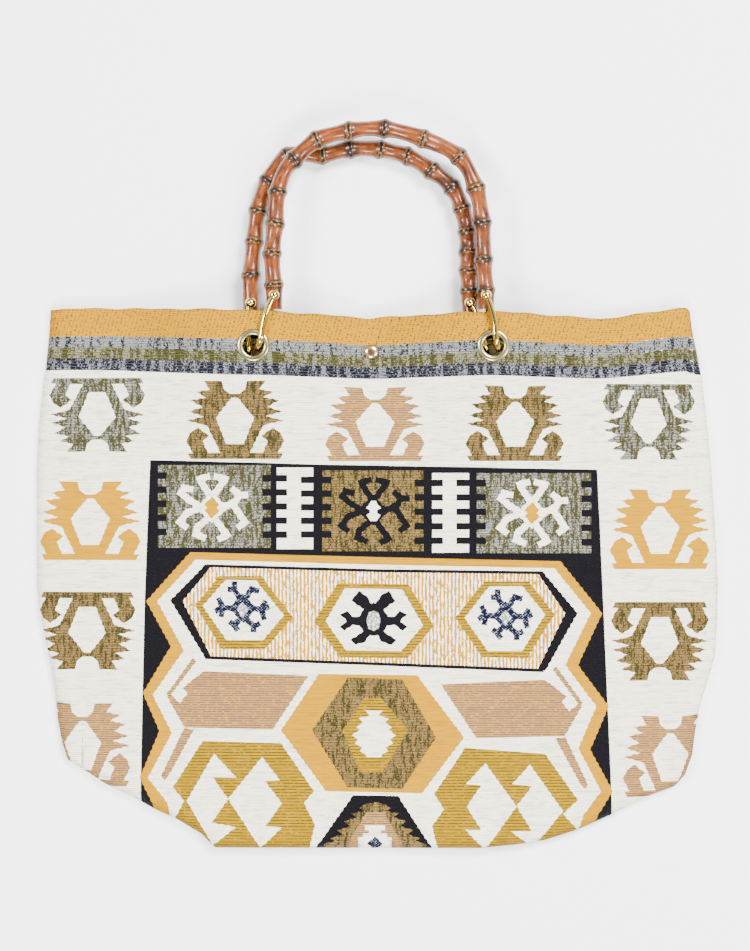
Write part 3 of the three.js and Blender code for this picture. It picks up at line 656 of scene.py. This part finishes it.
def height_at(felt, points):
    xs, ys, grid = felt
    u = np.clip((points[:, 0] - xs[0]) / STEP, 0, len(xs) - 1.001)
    v = np.clip((points[:, 1] - ys[0]) / STEP, 0, len(ys) - 1.001)
    i, j = u.astype(int), v.astype(int)
    fu, fv = u - i, v - j
    return ((grid[j, i] * (1 - fu) + grid[j, i + 1] * fu) * (1 - fv)
            + (grid[j + 1, i] * (1 - fu) + grid[j + 1, i + 1] * fu) * fv)


def ease(t):
    t = np.clip(t, 0, 1)
    return t * t * (3 - 2 * t)


def level_patches(points, heights, spots):
    """Keeps the cloth flat under the eyelets and the snap."""
    for x, y, level, flat in spots:
        away = np.hypot(points[:, 0] - x, points[:, 1] - y)
        share = 1 - ease((away - flat) / FLAT_FADE)
        heights = heights * (1 - share) + level * share
    return heights


# Low, wide waves, longer across the bag than along it, where the cloth has been folded.
WAVES = [                    # across, along, slant, rise and start
    (74, 31, 0.35, 0.30, 0.4), (-58, 24, -0.5, 0.22, 1.9), (39, 17, 0.2, 0.13, 3.1),
    (-27, 43, 0.1, 0.16, 5.2),
]
SWAY = 37            # mm, bends the waves' lines


def waves(points):
    total = np.zeros(len(points))
    for across, along, slant, rise, start in WAVES:
        turn = points[:, 0] / across + (points[:, 1] / along) + start
        total += rise * np.sin(turn + slant * np.sin(points[:, 1] / SWAY))
    return total


# %% Cutting the shell along the chart
def jagged(line):
    """A closed line of the chart with the small steps of a woven edge."""
    made = []
    for a, b in zip(line, np.roll(line, -1, 0)):
        length = math.dist(a, b)
        made.append(a)
        count = int(length / JAG_STEP)
        slanting = min(abs(b[0] - a[0]), abs(b[1] - a[1])) > 0.12 * length
        if slanting and count > 2:
            normal = np.array([a[1] - b[1], b[0] - a[0]]) / length
            for i in range(1, count):
                side = JAG if i % 2 else -JAG
                made.append(a + (b - a) * i / count + normal * side)
    return np.array(made)


def cloth(name, outline, mirror, rise, spacing, holes):
    """A pattern-cut sheet inside an outline. rise gives the height at each point, and holes
    are the eyelets' middles."""
    side = (-1, 1) if mirror else (1, 1)
    lines = [(yarn, jagged(to_mm(points)) * side) for yarn, points in figures]
    angles = np.linspace(0, 2 * math.pi, HOLE_SIDES, endpoint=False)
    circle = HOLE_CUT * np.column_stack([np.cos(angles), np.sin(angles)])
    cuts = [circle + hole for hole in holes]
    points, edges = [], []
    for line in [outline] + cuts + [line for yarn, line in lines[1:]]:
        first = len(points)
        points += list(line)
        edges += [(first + i, first + (i + 1) % len(line)) for i in range(len(line))]
    low, high = outline.min(0), outline.max(0)
    spots = np.array([(x + (spacing / 2 if j % 2 else 0), y)
                      for j, y in enumerate(np.arange(low[1], high[1], spacing * TRIANGLE))
                      for x in np.arange(low[0], high[0], spacing)])
    spots = spots[inside(spots, outline) & (nearest(spots, outline) > spacing * 0.5)]
    points += list(spots)
    cut = delaunay_2d_cdt([Vector(p) for p in points], edges, [], 0, 1e-3)
    flat = np.array([tuple(v) for v in cut[0]])
    faces = np.array([tuple(f) for f in cut[2]])
    middles = flat[faces].mean(1)
    keep = inside(middles, outline)
    for line in cuts:
        keep &= ~inside(middles, line)
    faces, middles = faces[keep], middles[keep]
    yarns = sorted(YARNS, key=lambda key: key == "reverse")
    index = np.full(len(faces), yarns.index("ivory"))
    for yarn, line in lines:
        near = np.flatnonzero(((middles > line.min(0)) & (middles < line.max(0))).all(1))
        index[near[inside(middles[near], line)]] = yarns.index(yarn)
    used = np.unique(faces)
    renumber = np.zeros(len(flat), int)
    renumber[used] = np.arange(len(used))
    flat, faces = flat[used], renumber[faces]
    if mirror:
        faces = faces[:, ::-1]
    solid = np.column_stack([flat, rise(flat)]) * MM
    mesh = bpy.data.meshes.new(name)
    mesh.from_pydata(solid.tolist(), [], faces.tolist())
    for key in yarns:
        mesh.materials.append(YARNS[key])
    mesh.polygons.foreach_set("material_index", index)
    mesh.polygons.foreach_set("use_smooth", np.ones(len(faces), bool))
    made = bring_in(name, mesh)
    thicken = made.modifiers.new("wall", "SOLIDIFY")
    thicken.thickness = WALL * MM
    thicken.offset = -1
    thicken.material_offset = len(yarns)
    bpy.ops.object.modifier_apply(modifier="wall")
    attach(made, "bag")
    print(name, "has", len(made.data.polygons), "triangles")
    return made


def flat_spots(panel, level):
    """Where the cloth is flat under its eyelets, at a level given by each eyelet's box."""
    boxes = [node_box(node) for node, carrier in EYELETS if carrier == panel]
    return [((low[0] + high[0]) / 2, (low[1] + high[1]) / 2, level(low, high), FLAT_REACH)
            for low, high in boxes]


FLANGE = 1.2         # mm, an eyelet's flange and its play
HEM = 2.2            # mm, double cloth between two flanges
cap_low, cap_high = node_box("snap_cap")
SNAP_PLACE = ((cap_low[0] + cap_high[0]) / 2, (cap_low[1] + cap_high[1]) / 2)
SNAP_LEVEL = cap_low[2] + HEM
front_spots = flat_spots("front_panel", lambda low, high: high[2] - FLANGE)
front_spots.append((*SNAP_PLACE, SNAP_LEVEL, SNAP_REACH))
back_spots = flat_spots("back_panel", lambda low, high: low[2] + FLANGE)
front_felt = felt_height("front_panel", True)
back_felt = felt_height("back_panel", False)


def front_rise(points):
    heights = height_at(front_felt, points) + waves(points)
    heights = level_patches(points, heights, front_spots)
    inward = np.clip(nearest(points, front_rim) / ROLL, 0, 1)
    return SEAM_HEIGHT + (heights - SEAM_HEIGHT) * np.sqrt(1 - (1 - inward) ** 2)


def back_rise(points):
    heights = np.maximum(height_at(back_felt, points), 0)
    return level_patches(points, heights, back_spots)


GRID = 3.4           # mm between two points inside the front
BACK_GRID = 1.6      # times as much on the back
front_holes = [spot[:2] for spot in front_spots[:2]]
front_cloth = cloth("front_cloth", front_outline, False, front_rise, GRID, front_holes)
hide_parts("front_panel")

# %% The back, cut from the same chart
# Its mouth edge lies lower at the eyelets, where the rear shackles draw it down.
BACK_DRAW = 6.5      # mm
DRAW_REACH = 34      # mm to each side
back_outline = front_outline.copy()
mouth_points = len(front_outline) - len(front_rim)
for spot in back_spots:
    near = np.exp(-((back_outline[-mouth_points:, 0] - spot[0]) / DRAW_REACH) ** 2)
    back_outline[-mouth_points:, 1] -= BACK_DRAW * near
back_holes = [spot[:2] for spot in back_spots]
back_cloth = cloth("back_cloth", back_outline, True, back_rise, GRID * BACK_GRID, back_holes)
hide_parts("back_panel")

# %% [markdown]
# ## Bamboo handles
# A bamboo root has a knot every two or three centimetres, with a sharp ridge on each side of a
# groove. The handle is a curve with a round section whose thickness changes from point to point,
# turned into a mesh. The distance to the next knot is kept on the mesh, so that the varnish can
# be scorched dark there.

# %% Varnished bamboo
NEAR_KNOT = 6.0      # mm over which the colours beside a knot are given


def bamboo_material():
    """Bamboo root, scorched in patches and dipped in a clear amber varnish."""
    made, tree, shader = new_material("varnished_bamboo")
    place = add(tree, "ShaderNodeTexCoord").outputs["Object"]
    off = add(tree, "ShaderNodeAttribute", attribute_name="off").outputs["Fac"]
    scorch = add(tree, "ShaderNodeAttribute", attribute_name="scorch").outputs["Fac"]
    grain = add(tree, "ShaderNodeAttribute", attribute_name="grain").outputs["Vector"]
    streaks = noise(tree, grain, 1, 4, Roughness=0.6)
    blotches = noise(tree, place, 95, 4, Roughness=0.65)
    mottle = compute(tree, "MULTIPLY_ADD", streaks, 0.6, compute(tree, "MULTIPLY", blotches, 0.4))
    tone = ramp(tree, mottle, [(0.38, "#371103"), (0.46, "#5A2809"), (0.53, "#70350C"),
                               (0.62, "#8E4E0E")])
    # dark groove, tan ridge and a dark line beyond it, all broken by the uneven root
    broken = compute(tree, "SUBTRACT", noise(tree, place, 420, 3, Roughness=0.6), 0.5)
    shifted = compute(tree, "MULTIPLY_ADD", broken, 0.55, off)
    ring = ramp(tree, shifted, [(0.0, "#120603"), (0.09, "#1E0C06"), (0.17, "#5E3C15"),
                                (0.27, "#714B11"), (0.36, "#210D06"), (0.5, "#411E0D")])
    uneven = compute(tree, "MULTIPLY_ADD", blotches, 1.1, compute(tree, "SUBTRACT", off, 0.53))
    body = mix(tree, remap(tree, uneven, 0.33, 0.52), ring, tone)
    # patches scorched nearly black, mostly beside a knot and where the root was bent over a flame
    burn = compute(tree, "MULTIPLY_ADD", off, -0.11, blotches)
    burn = compute(tree, "MULTIPLY_ADD", streaks, 0.35, burn)
    burn = compute(tree, "MULTIPLY_ADD", scorch, 0.11, burn)
    burnt = mix(tree, remap(tree, burn, 0.62, 0.77, 0, 0.85), body, linear("#170805"))
    tree.links.new(burnt, shader.inputs["Base Color"])
    bump = add(tree, "ShaderNodeBump", {"Height": mottle, "Strength": 0.35, "Distance": 0.0006})
    tree.links.new(bump.outputs[0], shader.inputs["Normal"])
    shader.inputs["Roughness"].default_value = 0.45
    shader.inputs["Specular IOR Level"].default_value = 0.15
    shader.inputs["Coat Weight"].default_value = 0.65
    shader.inputs["Coat Roughness"].default_value = 0.14
    shader.inputs["Coat IOR"].default_value = 1.38
    return made


BAMBOO = bamboo_material()

# %% Centre lines, in squares of the chart, with the knots marked
# A third number of 1 marks a knot, more a thicker one, and 0 a plain bend.
FRONT_LINE = [(274.9, 310.5, 0), (274.5, 286, 1), (272.7, 255, 1), (275.7, 225, 0.98),
              (278.0, 194, 0.96), (285, 173, 0), (294.6, 161.5, 1.1), (317, 142, 0.97),
              (349, 132.7, 0.96), (384.5, 130.6, 1.02), (422.8, 140.5, 1.02),
              (458, 158.2, 1.05), (475.4, 190, 1.03), (481.3, 224, 1), (483, 261, 1),
              (485, 292, 0.95), (485.5, 310.5, 0)]
REAR_LINE = [(251, 315, 0), (250.8, 275, 1), (254, 241.8, 0.97), (258, 210.5, 1),
             (268, 181, 1), (288, 155.3, 0.97), (322.5, 154, 1), (350, 148, 0.97),
             (380, 148.5, 0.96), (407.5, 155.5, 0.98), (432, 170, 1), (452, 186.5, 1),
             (462, 207.5, 0.98), (467, 231, 0.97), (468, 252, 0.96), (468.4, 271, 0.97),
             (469.4, 291, 0.95), (469.8, 315, 0)]
# places scorched darker, as (x, y, reach)
FRONT_SCORCH = [(483, 238, 26), (303, 152, 20), (386, 131, 12), (275, 215, 12)]
REAR_SCORCH = [(444, 180, 20), (466, 232, 16), (350, 150, 10)]
WAIST = 5.2          # mm, radius between two knots
SHOULDER = 0.8       # mm more beside a knot
SHOULDER_REACH = 6.5
KNOT = 1.15          # mm more than that on a knot
KNOT_REACH = 2.1     # mm to each side
GROOVE = 0.3         # mm deep, between the knot's two ridges
GROOVE_REACH = 0.45
TILT = 0.9           # mm by which a knot leans at most
DIMPLE = 0.22        # mm, unevenness of the root
DIMPLE_SIZES = (9, 5)          # mm, its twist and its length
GRAIN = (2.4, 11)    # streaks of the grain round the root, and mm along it
BAMBOO_STEP = 0.75   # mm between two sections
BEVEL = 9            # gives 20 sides
LINE_COUNT = 40      # places on the smooth line from one point to the next


def bent(points, count):
    """A smooth line through points, with count places from each to the next."""
    points = np.array(points, float)
    padded = np.concatenate([[2 * points[0] - points[1]], points, [2 * points[-1] - points[-2]]])
    made = []
    for p0, p1, p2, p3 in zip(padded, padded[1:], padded[2:], padded[3:]):
        for t in np.arange(count) / count:
            made.append(0.5 * (2 * p1 + (p2 - p0) * t + (2 * p0 - 5 * p1 + 4 * p2 - p3) * t ** 2
                               + (3 * p1 - p0 - 3 * p2 + p3) * t ** 3))
    return np.array(made + [points[-1]])


def bamboo(name, rows, scorched, pin_y, pin_height, arch_height, seed):
    """A handle from its centre line. Its height runs straight from the pins to the arch."""
    line = to_mm([row[:2] for row in rows])
    dense = bent(line, LINE_COUNT)
    gaps = np.hypot(*np.diff(dense, axis=0).T)
    way = np.concatenate([[0], np.cumsum(gaps)])
    knots = np.array([way[i * LINE_COUNT] for i in range(len(rows)) if rows[i][2]])
    sizes = np.array([row[2] for row in rows if row[2]])
    places = np.arange(0, way[-1], BAMBOO_STEP)
    x = np.interp(places, way, dense[:, 0])
    y = np.interp(places, way, dense[:, 1])
    z = pin_height + (arch_height - pin_height) * (y - pin_y) / (y.max() - pin_y)
    curve = bpy.data.curves.new(name, "CURVE")
    curve.dimensions = "3D"
    curve.bevel_depth = WAIST * MM
    curve.bevel_resolution = BEVEL
    curve.use_fill_caps = True
    spline = curve.splines.new("POLY")
    spline.points.add(len(places) - 1)
    for i, point in enumerate(spline.points):
        point.co = (x[i] * MM, y[i] * MM, z[i] * MM, 1)
    made = bring_in(name, curve)
    bpy.ops.object.convert(target="MESH")
    made = bpy.context.object
    made.name = name
    # Each corner moves in or out from the centre line, to the root's uneven thickness.
    rng = np.random.default_rng(seed)
    lean = rng.uniform(-TILT, TILT, len(knots))
    turn = rng.uniform(0, 2 * math.pi, len(knots))
    co = np.array([v.co for v in made.data.vertices]) / MM
    centre = np.column_stack([x, y, z])
    closest = np.array([((centre - p) ** 2).sum(1).argmin() for p in co])
    offset = co - centre[closest]
    way_there = np.column_stack([np.gradient(x), np.gradient(y)])[closest]
    sideways = np.column_stack([way_there[:, 1], -way_there[:, 0]])
    sideways /= np.hypot(*sideways.T)[:, None]
    angle = np.arctan2(offset[:, 2], (offset[:, :2] * sideways).sum(1))
    leaning = lean * np.sin(angle[:, None] - turn)
    away = np.abs(places[closest][:, None] - knots + leaning)
    off = away.min(1)
    size = sizes[away.argmin(1)]
    radius = WAIST + SHOULDER * np.exp(-((off / SHOULDER_REACH) ** 2))
    radius += KNOT * size * np.exp(-((off / KNOT_REACH) ** 2))
    radius -= GROOVE * np.exp(-((off / GROOVE_REACH) ** 2))
    along = places[closest]
    radius += (DIMPLE * np.sin(2 * angle + along / DIMPLE_SIZES[0])
               * np.sin(along / DIMPLE_SIZES[1] + seed))
    shell = np.linalg.norm(offset, axis=1)
    share = np.where(shell > 0.5 * WAIST, radius / np.maximum(shell, 0.1), 1)
    moved = (centre[closest] + offset * share[:, None]) * MM
    made.data.vertices.foreach_set("co", moved.astype(np.float32).ravel())
    kept_off = made.data.attributes.new("off", "FLOAT", "POINT")
    kept_off.data.foreach_set("value", np.clip(off / NEAR_KNOT, 0, 1).astype(np.float32))
    burnt = np.zeros(len(co))
    for px, py, reach in scorched:
        gap = np.linalg.norm(co[:, :2] - to_mm([(px, py)]), axis=1) / (reach * SQUARE)
        burnt += np.exp(-gap ** 2)
    kept_burn = made.data.attributes.new("scorch", "FLOAT", "POINT")
    kept_burn.data.foreach_set("value", burnt.astype(np.float32))
    grain = made.data.attributes.new("grain", "FLOAT_VECTOR", "POINT")
    coords = np.column_stack([np.cos(angle) * GRAIN[0], np.sin(angle) * GRAIN[0],
                              along / GRAIN[1] + seed])
    grain.data.foreach_set("vector", coords.astype(np.float32).ravel())
    dress(made, BAMBOO)
    bpy.ops.object.shade_smooth()
    print(name, "has", len(made.data.polygons), "faces,", len(knots), "knots")
    return made


front_handle = bamboo("front_bamboo", FRONT_LINE, FRONT_SCORCH, pin_y=127.1, pin_height=22.7,
                      arch_height=21.65, seed=1)
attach(front_handle, "front_handle")
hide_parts("front_handle")
rear_handle = bamboo("rear_bamboo", REAR_LINE, REAR_SCORCH, pin_y=122.4, pin_height=12.0,
                     arch_height=7.05, seed=5)
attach(rear_handle, "rear_handle")
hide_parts("rear_handle")

# %% [markdown]
# ## Brass
# Each shackle is a bent wire with a ball on each end. It is modelled once, with its pin on the
# origin, and copied to its four places with a mesh of its own. Eyelets and the snap's cap are
# turned: a profile is drawn as a chain of edges and spun about an upright axis.


# %% Metals
def metal(name, colour, dark, roughness, scale):
    """Brass with a cloudy polish."""
    made, tree, shader = new_material(name)
    cloud = noise(tree, add(tree, "ShaderNodeTexCoord").outputs["Object"], scale, 3)
    tree.links.new(mix(tree, cloud, linear(colour), linear(dark)), shader.inputs["Base Color"])
    rough = remap(tree, cloud, 0, 1, roughness * 0.7, roughness * 1.3)
    tree.links.new(rough, shader.inputs["Roughness"])
    shader.inputs["Metallic"].default_value = 1.0
    return made


POLISHED = metal("polished_brass", "#E6CC76", "#C6A54A", 0.1, 300)      # buffed and lacquered
AGED = metal("aged_brass", "#B8AE84", "#857C54", 0.28, 220)              # darkened and brushed
ROSY = metal("rosy_gilt_brass", "#EDC99E", "#D2A77C", 0.2, 260)          # thin warm gilding


def finish_piece(made, material, body, node):
    dress(made, material)
    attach(made, body)
    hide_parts(node)


TURN_STEPS = 48


def turned(name, profile):
    """A piece spun from a profile of (radius, height) in mm about the upright axis."""
    mesh = bpy.data.meshes.new(name)
    mesh.from_pydata([(r * MM, 0, z * MM) for r, z in profile],
                     [(i, i + 1) for i in range(len(profile) - 1)], [])
    made = bring_in(name, mesh)
    bpy.ops.object.mode_set(mode="EDIT")
    bpy.ops.mesh.select_all(action="SELECT")
    bpy.ops.mesh.spin(steps=TURN_STEPS, angle=2 * math.pi, center=(0, 0, 0), axis=(0, 0, 1))
    bpy.ops.mesh.select_all(action="SELECT")
    bpy.ops.mesh.remove_doubles(threshold=0.00001)
    bpy.ops.mesh.normals_make_consistent(inside=False)
    bpy.ops.object.mode_set(mode="OBJECT")
    bpy.ops.object.shade_smooth_by_angle(angle=math.radians(40))
    return made


def copy_to(source, name, matrix):
    """A copy with its own mesh, whose place is in the mesh."""
    made = bring_in(name, source.data.copy())
    made.data.transform(matrix)
    if matrix.determinant() < 0:
        made.data.flip_normals()
    return made


# %% Eyelets
HOLE = 7.0           # mm, radius
RIM = 11.0           # mm, radius
FLANGE_TALL = 1.0
TUBE = 1.0           # mm, wall of the tube
PLAY = 0.2           # mm between the hem and a flange


def half_ring(side, base):
    """One flange of an eyelet, from the hole outwards, above or below the cloth."""
    bumps = [(0.0, 0.15), (0.07, 0.5), (0.2, 0.82), (0.4, 1.0), (0.6, 0.97), (0.8, 0.75),
             (0.93, 0.4), (1.0, 0.0)]
    return [(HOLE + (RIM - HOLE) * out, base + side * FLANGE_TALL * up) for out, up in bumps]


top = HEM / 2 + PLAY
upper = half_ring(1, top)
lower = half_ring(-1, -top)
inner = [(HOLE + TUBE, top), (HOLE + TUBE, -top)]
eyelet = turned("eyelet", upper + inner + lower[::-1] + [upper[0]])
for node, panel in EYELETS:
    low, high = (Vector(corner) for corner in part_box(node))
    made = copy_to(eyelet, node + "_brass", Matrix.Translation((low + high) / 2))
    finish_piece(made, AGED, "bag", node)
bpy.data.objects.remove(eyelet)

# %% Shackles
WIRE = 2.0           # mm, radius
BALL = 3.75
REACH = 8.2          # from the bamboo's middle to a ball's middle
LEG = 29.0           # from the pin to the start of the bend
BOW = 1.5            # how far the upper leg is bowed sideways, away from the bag's middle
SAG = 0.9            # how far the hidden leg is bowed down, clear of the hem when it is lifted
PIN = 1.6            # radius
LEG_STEPS = 12
BEND_STEPS = 25


def shackle():
    """The bent wire as a curve with a round section, joined with its two balls and the pin."""
    arc = [(0, -LEG - REACH * math.sin(a), REACH * math.cos(a))
           for a in np.linspace(0, math.pi, BEND_STEPS)]
    shares = np.arange(LEG_STEPS) / LEG_STEPS
    upper_leg = [(-BOW * math.sin(math.pi * t), -LEG * t, REACH) for t in shares]
    lower_leg = [(0, -LEG * t, -REACH - SAG * math.sin(math.pi * t)) for t in shares[::-1]]
    path = upper_leg + arc + lower_leg
    curve = bpy.data.curves.new("shackle", "CURVE")
    curve.dimensions = "3D"
    curve.bevel_depth = WIRE * MM
    curve.bevel_resolution = 6
    curve.use_fill_caps = True
    spline = curve.splines.new("POLY")
    spline.points.add(len(path) - 1)
    for point, place in zip(spline.points, path):
        point.co = (*(Vector(place) * MM), 1)
    made = bring_in("shackle", curve)
    bpy.ops.object.convert(target="MESH")
    made = bpy.context.object
    parts = [made]
    for side in (-1, 1):
        bpy.ops.mesh.primitive_uv_sphere_add(segments=28, ring_count=16, radius=BALL * MM,
                                             location=(0, 0, side * REACH * MM))
        parts.append(bpy.context.object)
    bpy.ops.mesh.primitive_cylinder_add(vertices=16, radius=PIN * MM, depth=2 * REACH * MM)
    parts.append(bpy.context.object)
    bpy.ops.object.select_all(action="DESELECT")
    for part in parts:
        part.select_set(True)
    bpy.context.view_layer.objects.active = made
    bpy.ops.object.join()
    bpy.ops.object.transform_apply()
    bpy.ops.object.shade_smooth_by_angle(angle=math.radians(50))
    return made


SLOPES = {"front_handle": -0.0092, "rear_handle": -0.0463}
SHACKLES = [       # name, place of the pin, where the wire is aimed in the eyelet, and body
    ("front_shackle_left", (-69.6, 127.14, 22.69), (-79.9, 93.55), "front_handle"),
    ("front_shackle_right", (73.4, 127.14, 22.69), (80.9, 93.55), "front_handle"),
    ("rear_shackle_left", (-85.7, 122.44, 12.0), (-87.3, 87.88), "rear_handle"),
    ("rear_shackle_right", (62.9, 122.44, 12.0), (74.7, 87.88), "rear_handle"),
]
source = shackle()
for name, pin, aim, body in SHACKLES:
    turn = math.atan2(aim[0] - pin[0], pin[1] - aim[1])
    matrix = (Matrix.Translation(Vector(pin) * MM) @ Matrix.Rotation(turn, 4, "Z")
              @ Matrix.Rotation(math.atan(SLOPES[body]), 4, "X")
              @ Matrix.Scale(-1 if pin[0] > 0 else 1, 4, (1, 0, 0)))
    made = copy_to(source, name + "_brass", matrix)
    finish_piece(made, POLISHED, body, name)
bpy.data.objects.remove(source)

# %% Snap
# Only the cap shows. The other parts of the snap stay as the CAD has them.
CAP = [(1.9, -2.4), (1.9, -0.1), (4.6, -0.1), (4.85, 0.1), (4.87, 0.6), (4.6, 0.95), (4.1, 1.35),
       (3.3, 1.72), (2.3, 1.95), (1.2, 2.07), (0.0, 2.1)]
CAP_LIFT = 0.3       # mm above the cloth
cap_source = turned("cap", CAP)
level = Matrix.Translation(Vector((*SNAP_PLACE, SNAP_LEVEL + CAP_LIFT)) * MM)
cap = copy_to(cap_source, "snap_cap_brass", level)
finish_piece(cap, ROSY, "bag", "snap_cap")
bpy.data.objects.remove(cap_source)
for name in ("snap_socket", "snap_stud", "snap_back_plate"):
    dress(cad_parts[name], AGED)

# %% [markdown]
# ## Size
# The finished object has to stay close to the CAD part's box.

# %% Finish
low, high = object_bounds()
print("visual box in mm:", [round(v / MM, 1) for v in (high - low)])
